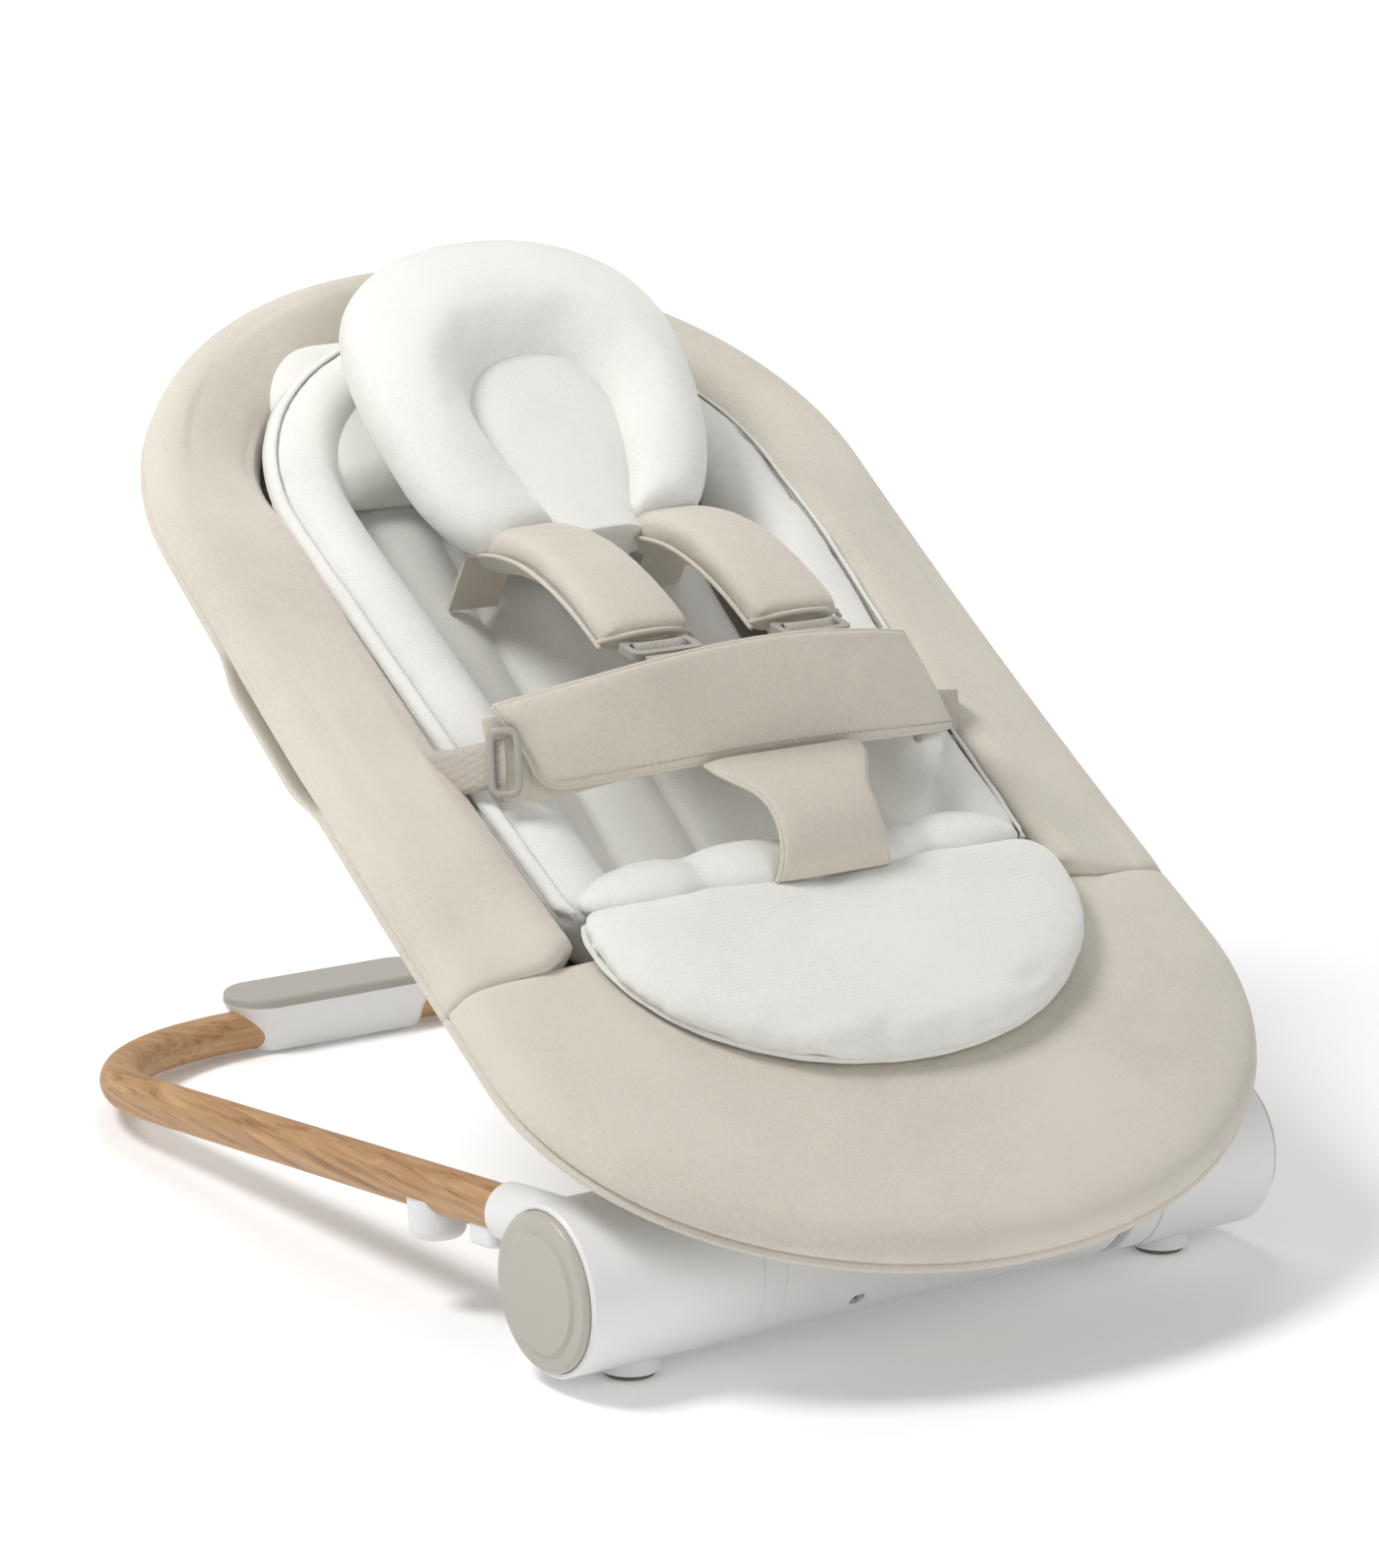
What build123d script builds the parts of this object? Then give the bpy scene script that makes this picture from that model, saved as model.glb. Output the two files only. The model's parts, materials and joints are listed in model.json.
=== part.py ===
from build123d import *
import math
import os

os.makedirs("parts", exist_ok=True)

# ---------------------------------------------------------------- driving dimensions (mm)
# front of the seat faces -Y, the user's right is +X, the floor is Z = 0
CAP_PLANE = 220.0          # half distance between the two end-cap edges
AXIS_Y = -246.0            # pivot axis of the front cylinder
AXIS_Z = 50.0
HUB_R = 43.6
HUB_END = 216.0            # outer end of the hub shell
HUB_IN_L = -116.0          # inner end of the left hub
HUB_IN_R = 141.0           # inner end of the right hub
CAVITY_R = 32.0
CAP_R = 40.6
CAP_RECESS_R = 41.0
DRUM_R = 42.8
DRUM_L = -102.0
DRUM_R_END = 121.0
AXLE_R = 8.0
RUN_GAP = 0.05             # radial running clearance
BUTTON_TRAVEL = 4.0
FOOT_X = 169.8
FOOT_R = 13.4
FOOT_H = 3.0

TUBE_R = 12.4
TUBE_X = 200.4
TUBE_FRONT_Y = AXIS_Y + 58.6
TUBE_FRONT_Z = 72.2
TUBE_REAR_Y = AXIS_Y + 590.7
TUBE_REAR_Z = 14.6
TUBE_BEND = 136.0
LINK_HALF = 63.6           # where the wood ends in the rear link
LINK_Y = AXIS_Y + 595.0

SEAT_FOOT_Y = AXIS_Y - 123.65
SEAT_FOOT_Z = 68.7
SEAT_ANGLE = 33.29
SEAT_LEN = 752.0
SEAT_HALF = 228.0
HEAD_DEPTH = 185.0
HEAD_CORNER = 160.0
FOOT_DEPTH = 172.0
FOOT_CORNER = 138.0
SEAT_SAG = 15.3            # the long sides dip this far below a straight line
CHORD = 740.0
SEAM_U = 222.0             # cross seam between side cover and foot panel
RECESS_HALF = 166.0        # half width of the hollow in the cover
FRAME_R = 8.0

# ---------------------------------------------------------------- planes of the seat
ca = math.cos(math.radians(SEAT_ANGLE))
sa = math.sin(math.radians(SEAT_ANGLE))
SEAT_O = (0, SEAT_FOOT_Y, SEAT_FOOT_Z)
PLAN = Plane(origin=SEAT_O, x_dir=(1, 0, 0), z_dir=(0, -sa, ca))
SIDE = Plane(origin=SEAT_O, x_dir=(0, ca, sa), z_dir=(1, 0, 0))


def sag(u):
    """Height of the seat's middle surface over the straight line at length u."""
    return -SEAT_SAG * (1 - (2 * u / CHORD - 1) ** 2)


def seat_point(x, u, w):
    """World point of seat coordinates: across, along, up from the middle surface."""
    h = sag(u) + w
    return (x, SEAT_FOOT_Y + u * ca - h * sa, SEAT_FOOT_Z + u * sa + h * ca)


def band(u0, u1, low, high):
    """Closed side outline of a layer that follows the curved seat."""
    um = (u0 + u1) / 2
    ThreePointArc((u0, sag(u0) + low), (um, sag(um) + low), (u1, sag(u1) + low))
    Line((u1, sag(u1) + low), (u1, sag(u1) + high))
    ThreePointArc((u1, sag(u1) + high), (um, sag(um) + high), (u0, sag(u0) + high))
    Line((u0, sag(u0) + high), (u0, sag(u0) + low))


def end_arcs(half, depth, side_r, far, sign):
    """Three tangent arcs that close one end: corner, end, corner (right to left)."""
    end_r = ((half - side_r) ** 2 + depth ** 2 - side_r ** 2) / (2 * (depth - side_r))
    turn = math.atan2(end_r - depth, half - side_r)
    base = far - sign * depth
    tx = half - side_r + side_r * math.cos(turn)
    tu = base + sign * side_r * math.sin(turn)
    mx = half - side_r + side_r * math.cos(turn / 2)
    mu = base + sign * side_r * math.sin(turn / 2)
    ThreePointArc((half, base), (mx, mu), (tx, tu))
    ThreePointArc((tx, tu), (0, far), (-tx, tu))
    ThreePointArc((-tx, tu), (-mx, mu), (-half, base))


def oblong(cut):
    """Cover outline moved inwards by cut: parallel sides, arc-shaped ends."""
    half = SEAT_HALF - cut
    end_arcs(half, HEAD_DEPTH - cut, HEAD_CORNER - cut, SEAT_LEN - cut, 1)
    end_arcs(half, FOOT_DEPTH - cut, FOOT_CORNER - cut, cut, -1)
    Line((half, FOOT_DEPTH), (half, SEAT_LEN - HEAD_DEPTH))
    Line((-half, FOOT_DEPTH), (-half, SEAT_LEN - HEAD_DEPTH))


def hollow(half, head_u):
    """Outline of the hollow in the cover, open well below the cross seam."""
    end_arcs(half, 140, 104, head_u, 1)
    Line((half, head_u - 140), (half, 60))
    Line((half, 60), (-half, 60))
    Line((-half, 60), (-half, head_u - 140))


def save(builder, label):
    builder.part.label = label
    export_step(builder.part, "parts/" + label + ".step")


def x_plane(x):
    """Plane across the pivot axis at x, its normal along +X, local (y, z)."""
    return Plane(origin=(x, AXIS_Y, AXIS_Z), x_dir=(0, 1, 0), z_dir=(1, 0, 0))


tube_dir = (0, TUBE_REAR_Y - TUBE_FRONT_Y, TUBE_REAR_Z - TUBE_FRONT_Z)
tube_run = math.hypot(tube_dir[1], tube_dir[2])
tdy = tube_dir[1] / tube_run
tdz = tube_dir[2] / tube_run
TUBES = Plane(origin=(0, TUBE_REAR_Y, TUBE_REAR_Z), x_dir=(1, 0, 0), z_dir=(0, -tdz, tdy))
SIDE_NAMES = ((-1, "left"), (1, "right"))

# ---------------------------------------------------------------- base: hubs
for s, side in SIDE_NAMES:
    inner = HUB_IN_L if s < 0 else HUB_IN_R
    socket = Plane(origin=(s * TUBE_X, TUBE_FRONT_Y, TUBE_FRONT_Z), x_dir=(1, 0, 0),
                   z_dir=(0, -tdy, -tdz))
    with BuildPart() as hub:
        with BuildSketch(x_plane(inner)):
            Circle(HUB_R)
        extrude(amount=s * HUB_END - inner)
        chamfer(hub.faces().filter_by(Axis.X).sort_by(Axis.X)[0 if s < 0 else -1].edges(), 1.2)
        with BuildSketch(socket):
            Circle(15)
        extrude(amount=52)
        with BuildSketch(Plane.XY.offset(FOOT_H)):
            with Locations((s * FOOT_X, AXIS_Y - 3.7)):
                Circle(FOOT_R + 2.4)
        extrude(amount=14, taper=4)
        with BuildSketch(x_plane(s * HUB_END)):
            Circle(CAP_RECESS_R)
        extrude(amount=-s * 12, mode=Mode.SUBTRACT)
        with BuildSketch(x_plane(inner)):
            Circle(CAVITY_R)
        extrude(amount=s * 196 - inner, mode=Mode.SUBTRACT)
        with BuildSketch(x_plane(s * 194)):
            Circle(6.2)
        extrude(amount=s * 12, mode=Mode.SUBTRACT)
        with BuildSketch(socket):
            Circle(TUBE_R)
        extrude(amount=13, mode=Mode.SUBTRACT)
    save(hub, "hub_" + side)

    with BuildPart() as foot:
        with BuildSketch(Plane.XY):
            with Locations((s * FOOT_X, AXIS_Y - 3.7)):
                Circle(FOOT_R)
        extrude(amount=FOOT_H)
        chamfer(foot.edges().group_by(Axis.Z)[0], 0.8)
    save(foot, "hub_foot_" + side)

    # push button: domed end cap with its plunger, and the spring behind it at its pressed length
    with BuildPart() as button:
        with BuildSketch(x_plane(s * 213)):
            Circle(CAP_R)
        extrude(amount=s * 7)
        fillet(button.faces().sort_by(Axis.X)[0 if s < 0 else -1].edges(), 2.5)
        with BuildSketch(x_plane(s * 220)):
            Circle(32)
        extrude(amount=s * 1.6, taper=55)
        with BuildSketch(x_plane(s * 213)):
            Circle(6.2 - RUN_GAP)
        extrude(amount=-s * 21)
    save(button, "button_" + side)

    with BuildPart() as spring:
        with BuildLine():
            Helix(pitch=1.6, height=3.2, radius=11, center=(s * 204.9, AXIS_Y, AXIS_Z),
                  direction=(s, 0, 0))
        start = spring.pending_edges[0]
        with BuildSketch(Plane(origin=start @ 0, z_dir=start % 0)):
            Circle(0.7)
        sweep(is_frenet=True)
    save(spring, "button_spring_" + side)

# ---------------------------------------------------------------- base: bent wood tubes
for s, side in SIDE_NAMES:
    with BuildPart() as tube:
        with BuildLine(TUBES) as run:
            Line((s * TUBE_X, -tube_run - 13), (s * TUBE_X, -TUBE_BEND))
            CenterArc((s * (TUBE_X - TUBE_BEND), -TUBE_BEND), TUBE_BEND,
                      0 if s > 0 else 180, 90 * s)
            Line((s * (TUBE_X - TUBE_BEND), 0), (s * 40, 0))
        with BuildSketch(Plane(origin=run.line @ 0, z_dir=run.line % 0)):
            Circle(TUBE_R)
        sweep(transition=Transition.RIGHT)
    save(tube, "wood_tube_" + side)

    # round peg and short clip under each side tube, just behind the hub
    peg_y = AXIS_Y + 132
    peg_z = TUBE_FRONT_Z + (peg_y - TUBE_FRONT_Y) * tdz / tdy
    under = Plane(origin=(s * TUBE_X, peg_y, peg_z), x_dir=(1, 0, 0), z_dir=(0, tdz, -tdy))
    with BuildPart() as peg:
        with BuildSketch(under.offset(4)):
            Circle(15)
        extrude(amount=22)
        fillet(peg.faces().sort_by(Axis.Z)[0].edges(), 6)
        with BuildSketch(Plane(origin=under.origin, x_dir=(1, 0, 0), z_dir=(0, tdy, tdz))):
            Circle(TUBE_R)
        extrude(amount=40, both=True, mode=Mode.SUBTRACT)
    save(peg, "tube_peg_" + side)

    clip_y = AXIS_Y + 76
    clip_z = TUBE_FRONT_Z + (clip_y - TUBE_FRONT_Y) * tdz / tdy
    near = Plane(origin=(s * TUBE_X, clip_y, clip_z), x_dir=(1, 0, 0), z_dir=(0, tdz, -tdy))
    with BuildPart() as clip:
        with BuildSketch(near.offset(4)):
            RectangleRounded(18, 24, 5)
        extrude(amount=16)
        fillet(clip.faces().sort_by(Axis.Z)[0].edges(), 3)
        with BuildSketch(Plane(origin=near.origin, x_dir=(1, 0, 0), z_dir=(0, tdy, tdz))):
            Circle(TUBE_R)
        extrude(amount=40, both=True, mode=Mode.SUBTRACT)
    save(clip, "tube_clip_" + side)

# ---------------------------------------------------------------- base: rear link
with BuildPart() as link:
    with BuildSketch(Plane.XY.offset(2)):
        with Locations((0, LINK_Y - 3)):
            SlotOverall(118, 28)
    with BuildSketch(Plane.XY.offset(31)):
        with Locations((0, LINK_Y)):
            SlotOverall(146, 47)
    loft()
    with BuildSketch(Plane(origin=(0, TUBE_REAR_Y, TUBE_REAR_Z), x_dir=(0, 1, 0), z_dir=(1, 0, 0))):
        Circle(TUBE_R)
    extrude(amount=90, both=True, mode=Mode.SUBTRACT)
    with BuildSketch(Plane(origin=(0, TUBE_REAR_Y, TUBE_REAR_Z), x_dir=(0, 1, 0), z_dir=(1, 0, 0))):
        Circle(TUBE_R)
    extrude(amount=40, both=True)
save(link, "rear_link")

with BuildPart() as pad:
    with BuildSketch(Plane.XY.offset(31)):
        with Locations((0, LINK_Y)):
            SlotOverall(145, 46)
    extrude(amount=6)
    fillet(pad.faces().sort_by(Axis.Z)[-1].edges(), 2.5)
save(pad, "rear_pad")

for s, side in SIDE_NAMES:
    with BuildPart() as grip:
        with BuildSketch(Plane.XY):
            with Locations((s * 32, LINK_Y - 3)):
                SlotOverall(34, 14)
        extrude(amount=2)
    save(grip, "rear_grip_" + side)

# ---------------------------------------------------------------- recline carrier
with BuildPart() as axle:
    with BuildSketch(x_plane(-186)):
        Circle(AXLE_R)
    extrude(amount=372)
save(axle, "axle")

for s, side in SIDE_NAMES:
    with BuildPart() as disc:
        with BuildSketch(x_plane(s * 174)):
            Circle(CAVITY_R - RUN_GAP)
            with PolarLocations(CAVITY_R, 18):
                Circle(2.4, mode=Mode.SUBTRACT)
            Circle(AXLE_R, mode=Mode.SUBTRACT)
        extrude(amount=s * 12)
    save(disc, "lock_disc_" + side)

for side, x0, x1 in (("left", HUB_IN_L + 0.3, DRUM_L - 0.3), ("right", DRUM_R_END + 2.2, HUB_IN_R - 0.3)):
    with BuildPart() as collar:
        with BuildSketch(x_plane(x0)):
            Circle(HUB_R - 0.4)
            Circle(AXLE_R, mode=Mode.SUBTRACT)
        extrude(amount=x1 - x0)
        fillet(collar.faces().sort_by(Axis.X)[0].outer_wire().edges(), 1.0)
    save(collar, "collar_" + side)

# ---------------------------------------------------------------- seat: drum on the axle
with BuildPart() as drum:
    with BuildSketch(x_plane(DRUM_L)):
        Circle(DRUM_R)
    extrude(amount=DRUM_R_END - DRUM_L)
    fillet(drum.faces().sort_by(Axis.X)[-1].edges(), 9)
    fillet(drum.faces().sort_by(Axis.X)[0].edges(), 1)
    with BuildSketch(x_plane(DRUM_L + 7)):
        Circle(DRUM_R - 4.5)
    extrude(amount=DRUM_R_END - DRUM_L - 18, mode=Mode.SUBTRACT)
    with BuildSketch(x_plane(DRUM_L - 1)):
        Circle(AXLE_R + RUN_GAP)
    extrude(amount=DRUM_R_END - DRUM_L + 2, mode=Mode.SUBTRACT)
    # screw wells low on the front
    for x in (-52, 64):
        with BuildSketch(Plane(origin=(x, AXIS_Y, AXIS_Z), x_dir=(1, 0, 0), z_dir=(0, -0.78, -0.626))
                         .offset(DRUM_R - 3)):
            Circle(4.6)
        extrude(amount=8, mode=Mode.SUBTRACT)
save(drum, "drum")

for x, side in ((-52, "left"), (64, "right")):
    well = Plane(origin=(x, AXIS_Y, AXIS_Z), x_dir=(1, 0, 0), z_dir=(0, -0.78, -0.626))
    with BuildPart() as screw:
        with BuildSketch(well.offset(DRUM_R - 3)):
            Circle(4.0)
            RegularPolygon(1.6, 6, mode=Mode.SUBTRACT)
        extrude(amount=1.6)
    save(screw, "drum_screw_" + side)

for x0, side in ((-88, "left"), (52, "right")):
    with BuildPart() as coil:
        with BuildLine():
            Helix(pitch=6, height=42, radius=15, center=(x0, AXIS_Y, AXIS_Z), direction=(1, 0, 0))
        start = coil.pending_edges[0]
        with BuildSketch(Plane(origin=start @ 0, z_dir=start % 0)):
            Circle(1.8)
        sweep(is_frenet=True)
    save(coil, "bounce_spring_" + side)

# ---------------------------------------------------------------- seat frame
FRAME_IN = 14.0            # frame centre line inside the cover edge


def slope(u):
    """Angle of the middle surface against the straight line, in degrees."""
    return math.degrees(math.atan(4 * SEAT_SAG * (2 * u / CHORD - 1) / CHORD))


FRAME_FOOT_U = FOOT_DEPTH
FRAME_HEAD_U = SEAT_LEN - HEAD_DEPTH
for s, side in SIDE_NAMES:
    with BuildPart() as rail:
        with BuildLine(SIDE.offset(s * (SEAT_HALF - FRAME_IN))) as run:
            ThreePointArc((FRAME_FOOT_U, sag(FRAME_FOOT_U)), (370, sag(370)),
                          (FRAME_HEAD_U, sag(FRAME_HEAD_U)))
        with BuildSketch(Plane(origin=run.line @ 0, z_dir=run.line % 0)):
            Circle(FRAME_R)
        sweep()
    save(rail, "seat_frame_" + side)

for label, u0, sign, depth, corner in (
        ("seat_frame_foot", FRAME_FOOT_U, -1, FOOT_DEPTH, FOOT_CORNER),
        ("seat_frame_head", FRAME_HEAD_U, 1, HEAD_DEPTH, HEAD_CORNER)):
    lean = math.radians(SEAT_ANGLE + slope(u0))
    end_plane = Plane(origin=seat_point(0, u0, 0), x_dir=(1, 0, 0),
                      z_dir=(0, -math.sin(lean), math.cos(lean)))
    with BuildPart() as bow:
        with BuildLine(end_plane) as run:
            end_arcs(SEAT_HALF - FRAME_IN, depth - FRAME_IN, corner - FRAME_IN,
                     sign * (depth - FRAME_IN), sign)
        with BuildSketch(Plane(origin=run.line @ 0, z_dir=run.line % 0)):
            Circle(FRAME_R)
        sweep()
    save(bow, label)

BAR_U = 100.0
BAR_W = -24.5
bar_y, bar_z = seat_point(0, BAR_U, BAR_W)[1:]
with BuildPart() as crossbar:
    with BuildSketch(Plane(origin=(-176, bar_y, bar_z), x_dir=(0, 1, 0), z_dir=(1, 0, 0))):
        Circle(5.5)
    extrude(amount=352)
save(crossbar, "crossbar")

for x, side in ((-52, "left"), (64, "right")):
    with BuildPart() as bracket:
        with BuildSketch(SIDE.offset(x - 17)):
            with Locations((BAR_U - 4, sag(BAR_U) + BAR_W - 16)):
                Rectangle(34, 44)
        extrude(amount=34)
        chamfer(bracket.edges().filter_by(Axis.X), 3)
        with BuildSketch(x_plane(x - 20)):
            Circle(DRUM_R)
        extrude(amount=40, mode=Mode.SUBTRACT)
        with BuildSketch(Plane(origin=(x - 20, bar_y, bar_z), x_dir=(0, 1, 0), z_dir=(1, 0, 0))):
            Circle(5.5)
        extrude(amount=40, mode=Mode.SUBTRACT)
    save(bracket, "drum_bracket_" + side)

# ---------------------------------------------------------------- cover
COVER_LOW = -12
COVER_HIGH = 14
SHELL = FRAME_IN - FRAME_R - 0.5      # cover thickness outside the frame channel

# channel in the underside of the cover edge that the frame lies in
with BuildPart() as channel:
    with BuildSketch(SIDE):
        with BuildLine():
            band(-6, SEAT_LEN + 6, COVER_LOW - 4, FRAME_R + 0.6)
        make_face()
    extrude(amount=240, both=True)
    with BuildSketch(PLAN.offset(-90)):
        with BuildLine():
            oblong(SHELL)
        make_face()
    extrude(amount=180, mode=Mode.INTERSECT)
    with BuildSketch(PLAN.offset(-90)):
        with BuildLine():
            oblong(SHELL + 17)
        make_face()
    extrude(amount=180, mode=Mode.SUBTRACT)
with BuildPart() as border:
    with BuildSketch(SIDE):
        with BuildLine():
            band(SEAM_U + 0.2, SEAT_LEN + 6, COVER_LOW, COVER_HIGH)
        make_face()
    extrude(amount=240, both=True)
    with BuildSketch(PLAN.offset(-90)):
        with BuildLine():
            oblong(0)
        make_face()
    extrude(amount=180, mode=Mode.INTERSECT)
    with BuildSketch(PLAN.offset(-90)):
        with BuildLine():
            hollow(RECESS_HALF, 702)
        make_face()
    extrude(amount=180, mode=Mode.SUBTRACT)
    add(channel.part, mode=Mode.SUBTRACT)
    # slit in each long side that shows the frame
    for s in (-1, 1):
        with BuildSketch(SIDE.offset(s * (SEAT_HALF - 10))):
            with BuildLine():
                band(366, 493, -5.5, 0.5)
            make_face()
        extrude(amount=s * 30, mode=Mode.SUBTRACT)
save(border, "cover_border")

with BuildPart() as panel:
    with BuildSketch(SIDE):
        with BuildLine():
            band(-4, SEAM_U - 0.2, COVER_LOW, COVER_HIGH)
        make_face()
    extrude(amount=240, both=True)
    with BuildSketch(PLAN.offset(-90)):
        with BuildLine():
            oblong(0)
        make_face()
    extrude(amount=180, mode=Mode.INTERSECT)
    add(channel.part, mode=Mode.SUBTRACT)
save(panel, "foot_panel")

# ---------------------------------------------------------------- sling: the hollow under the child
SLING_TOP = ((698, -10), (610, -26), (500, -40), (400, -50), (320, -57), (286, -58),
             (262, -50), (244, -32), (234, -10))


def sling_curve(drop, first=0, last=9):
    """Long section of the hollow, lowered by drop."""
    return [(u, sag(u) + w - drop) for u, w in SLING_TOP[first:last]]


with BuildPart() as sling:
    with BuildSketch(SIDE):
        with BuildLine():
            low = Spline(*sling_curve(4))
            Line(low @ 1, (234, sag(234) - 12.3))
            ThreePointArc((234, sag(234) - 12.3), (466, sag(466) - 12.3), (698, sag(698) - 12.3))
            Line((698, sag(698) - 12.3), low @ 0)
        make_face()
    extrude(amount=162, both=True)
    with BuildSketch(SIDE):
        with BuildLine():
            high = Spline(*sling_curve(0))
            Line(high @ 1, (234, 10))
            Line((234, 10), (698, 10))
            Line((698, 10), high @ 0)
        make_face()
    extrude(amount=158, both=True, mode=Mode.SUBTRACT)
save(sling, "sling")

# ---------------------------------------------------------------- liner
with BuildPart() as liner:
    with BuildSketch(SIDE):
        with BuildLine():
            low = Spline(*sling_curve(-1, 1, 8))
            high = Spline(*sling_curve(-18, 1, 7))
            Line(low @ 1, high @ 1)
            Line(low @ 0, high @ 0)
        make_face()
    extrude(amount=104, both=True)
save(liner, "liner_back")

for s, side in SIDE_NAMES:
    with BuildPart() as bolster:
        with BuildSketch(SIDE.offset(s * 104.5)):
            with BuildLine():
                low = Spline(*sling_curve(-1, 1, 8))
                Line(low @ 0, (610, sag(610) + 18))
                ThreePointArc((610, sag(610) + 18), (430, sag(430) + 21), (252, sag(252) + 22))
                Line((252, sag(252) + 22), low @ 1)
            make_face()
        extrude(amount=s * 53)
        with BuildSketch(PLAN.offset(-90)):
            with BuildLine():
                hollow(RECESS_HALF - 8.5, 694)
            make_face()
        extrude(amount=180, mode=Mode.INTERSECT)
    save(bolster, "liner_bolster_" + side)

with BuildPart() as liner_head:
    with BuildSketch(SIDE):
        with BuildLine():
            band(610.5, 700, -8, 13)
        make_face()
    extrude(amount=170, both=True)
    with BuildSketch(PLAN.offset(-90)):
        with BuildLine():
            hollow(RECESS_HALF - 8.5, 694)
        make_face()
    extrude(amount=180, mode=Mode.INTERSECT)
save(liner_head, "liner_head")

with BuildPart() as leg_panel:
    with BuildSketch(SIDE):
        with BuildLine():
            band(118, 249, COVER_HIGH + 0.3, COVER_HIGH + 20)
        make_face()
    extrude(amount=170, both=True)
    with BuildSketch(PLAN.offset(-90)):
        with BuildLine():
            end_arcs(147, 105, 84, 120, -1)
            Line((147, 225), (147, 400))
            Line((147, 400), (-147, 400))
            Line((-147, 400), (-147, 225))
        make_face()
    extrude(amount=180, mode=Mode.INTERSECT)
save(leg_panel, "liner_leg_panel")

with BuildPart() as fold:
    with BuildSketch(SIDE):
        with BuildLine():
            Polyline((249.3, 14.5 + sag(249)), (249.3, 32 + sag(249)), (264, 26 + sag(264)),
                     (284, -4 + sag(284)), (284, -39 + sag(284)), (262, -26 + sag(262)),
                     (249.3, 14.5 + sag(249)))
        make_face()
    extrude(amount=104, both=True)
save(fold, "liner_seat_fold")

# ---------------------------------------------------------------- head pillow
with BuildPart() as pillow:
    with BuildSketch(PLAN.offset(14)):
        with BuildLine():
            end_arcs(104, 98, 92, 736, 1)
            end_arcs(104, 98, 92, 512, -1)
            Line((104, 610), (104, 638))
            Line((-104, 610), (-104, 638))
        make_face()
    extrude(amount=48)
    with BuildSketch(PLAN):
        with BuildLine():
            Spline((0, 522), (30, 556), (40, 592), (26, 624), (0, 636), (-26, 624), (-40, 592),
                   (-30, 556), (0, 522))
        make_face()
    extrude(amount=80, mode=Mode.SUBTRACT)
save(pillow, "head_pillow")

# ---------------------------------------------------------------- harness
STRAP_RISE = math.radians(23.8)
for s, side in SIDE_NAMES:
    with BuildPart() as pad:
        with BuildSketch(SIDE.offset(s * 48 - 28)):
            with BuildLine():
                ThreePointArc((508, 8), (446, 45), (384, 54))
                Line((384, 54), (384, 65))
                ThreePointArc((384, 65), (442, 57), (510, 17))
                Line((510, 17), (508, 8))
            make_face()
        extrude(amount=56)
    save(pad, "shoulder_pad_" + side)

    with BuildPart() as tab:
        with BuildSketch(SIDE.offset(s * 60 - 16)):
            with BuildLine():
                Polyline((512, -32), (514, 12), (511.5, 12), (509.5, -32), (512, -32))
            make_face()
        extrude(amount=32)
    save(tab, "shoulder_anchor_" + side)

    strap = Plane(origin=(s * 48, SEAT_FOOT_Y + 371 * ca - 65 * sa, SEAT_FOOT_Z + 371 * sa + 65 * ca),
                  x_dir=(1, 0, 0), z_dir=(0, -math.sin(math.radians(SEAT_ANGLE) - STRAP_RISE),
                                          math.cos(math.radians(SEAT_ANGLE) - STRAP_RISE)))
    with BuildPart() as ring:
        with BuildSketch(strap.offset(-2)):
            with Locations((0, 1)):
                RectangleRounded(44, 19, 5)
                RectangleRounded(35, 10.5, 3, mode=Mode.SUBTRACT)
        extrude(amount=4)
    save(ring, "shoulder_ring_" + side)

    # webbing from the ring down behind the belt
    with BuildPart() as webbing:
        with BuildSketch(strap.offset(-1)):
            with Locations((0, -14)):
                Rectangle(32, 10.5)
        extrude(amount=1.6)
    save(webbing, "shoulder_webbing_" + side)

# the waist belt stands almost upright over the seat
BELT_TILT = math.radians(SEAT_ANGLE + 53.0)
BELT_LOW = 214.0
across = Plane(origin=SEAT_O, x_dir=(1, 0, 0), z_dir=(0, -math.cos(BELT_TILT), -math.sin(BELT_TILT)))
with BuildPart() as belt:
    with BuildSketch(across.offset(-BELT_LOW)):
        with BuildLine():
            ThreePointArc((-146, -263), (0, -232.5), (146, -263))
            Line((146, -263), (150, -254))
            ThreePointArc((150, -254), (0, -222.3), (-150, -254))
            Line((-150, -254), (-146, -263))
        make_face()
    extrude(amount=-62)
save(belt, "waist_belt")

with BuildPart() as under:
    with BuildSketch(across.offset(-BELT_LOW - 2)):
        with BuildLine():
            ThreePointArc((-140, -268.5), (-110, -253.5), (-80, -244.5))
            Line((-80, -244.5), (-80, -241.5))
            ThreePointArc((-80, -241.5), (-112, -251), (-143, -266))
            Line((-143, -266), (-140, -268.5))
        make_face()
    extrude(amount=-54)
save(under, "belt_tab")

with BuildPart() as crotch:
    with BuildSketch(SIDE):
        with BuildLine():
            ThreePointArc((247, 23), (269, 41), (303, 37))
            Line((303, 37), (304, 44))
            ThreePointArc((304, 44), (264, 48), (238, 26))
            Line((238, 26), (247, 23))
        make_face()
    extrude(amount=45, both=True)
    for s in (-1, 1):
        with BuildSketch(PLAN.offset(-20)):
            with Locations((s * 86, 262)):
                Circle(49)
        extrude(amount=100, mode=Mode.SUBTRACT)
save(crotch, "crotch_strap")

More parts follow.
